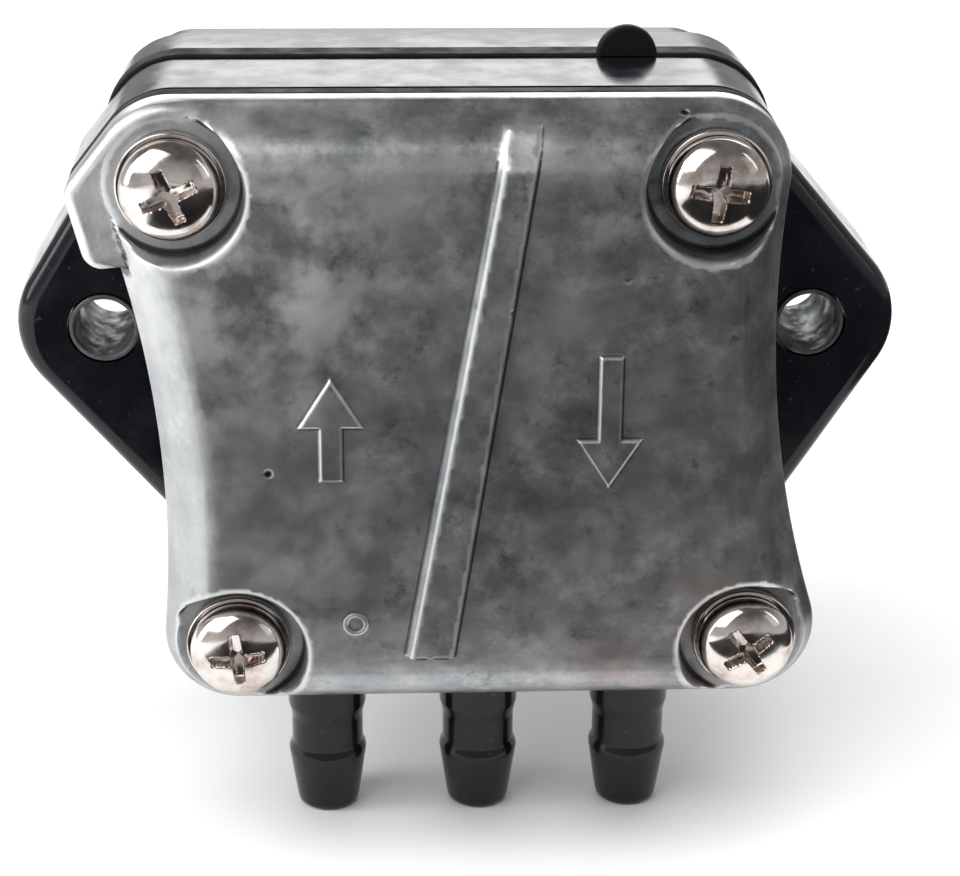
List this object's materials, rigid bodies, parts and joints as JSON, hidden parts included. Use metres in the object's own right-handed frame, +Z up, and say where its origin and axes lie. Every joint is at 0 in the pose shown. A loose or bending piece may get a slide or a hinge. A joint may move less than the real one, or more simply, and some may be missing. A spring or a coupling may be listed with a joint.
{
  "type": "diaphragm pump",
  "caption": "Flange-mounted mechanical diaphragm pump: die-cast cover with a slanted rib, black plastic body, hose nozzles below and a sprung plunger behind.",
  "frame": {"origin": "centre of the mounting flange's rear face, on the pump axis", "axes": "+X right seen from the cover, along the line through the two mounting holes; +Y rearward along the pump axis, out of the flange's rear face; +Z up, away from the hose nozzles"},
  "size_m": [0.0936, 0.064, 0.0826],
  "materials": {
    "cast_aluminium": "as-cast, satin, oxidised",
    "black_plastic": "glossy black moulding",
    "rubber": "matte black",
    "valve_rubber": "matte",
    "nickel": "bright nickel plate",
    "steel": "bright drawn",
    "hard_steel": "ground, hardened",
    "spring_steel": "oiled spring wire",
    "zinc_plate": "zinc plated",
    "brass": "turned"
  },
  "bodies": {
    "housing": {"cover": "cast_aluminium", "cover_membrane": "rubber", "valve_body": "black_plastic", "main_diaphragm": "rubber", "base": "black_plastic", "inlet_valve_spring": "spring_steel", "inlet_valve_retainer": "brass", "outlet_valve_spring": "spring_steel", "outlet_valve_retainer": "brass", "diaphragm_spring": "spring_steel", "plunger_spring": "spring_steel", "rod_seal": "rubber", "spring_seat": "zinc_plate", "pilot_o_ring": "rubber", "left_mounting_sleeve": "steel", "right_mounting_sleeve": "steel", "upper_left_screw": "nickel", "upper_left_washer": "nickel", "upper_left_insert": "brass", "upper_right_screw": "nickel", "upper_right_washer": "nickel", "upper_right_insert": "brass", "lower_left_screw": "nickel", "lower_left_washer": "nickel", "lower_left_insert": "brass", "lower_right_screw": "nickel", "lower_right_washer": "nickel", "lower_right_insert": "brass"},
    "plunger_set": {"front_plate": "zinc_plate", "rear_plate": "zinc_plate", "diaphragm_rod": "steel", "cross_pin": "steel", "plunger": "hard_steel"},
    "inlet_valve": {"inlet_valve_disc": "valve_rubber"},
    "outlet_valve": {"outlet_valve_disc": "valve_rubber"}
  },
  "joints": [
    {"name": "plunger_slide", "type": "slide", "parent": "housing", "child": "plunger_set", "axis": [0, -1, 0], "range_m": [0, 0.0024], "stiffness_N_per_m": 900, "springref_m": -0.004, "deforming": ["main_diaphragm", "diaphragm_spring", "plunger_spring"]},
    {"name": "inlet_valve_lift", "type": "slide", "parent": "housing", "child": "inlet_valve", "axis": [0, 1, 0], "range_m": [0, 0.0008], "stiffness_N_per_m": 40, "springref_m": -0.001, "deforming": ["inlet_valve_spring"]},
    {"name": "outlet_valve_lift", "type": "slide", "parent": "housing", "child": "outlet_valve", "axis": [0, -1, 0], "range_m": [0, 0.0008], "stiffness_N_per_m": 40, "springref_m": -0.001, "deforming": ["outlet_valve_spring"]}
  ]
}
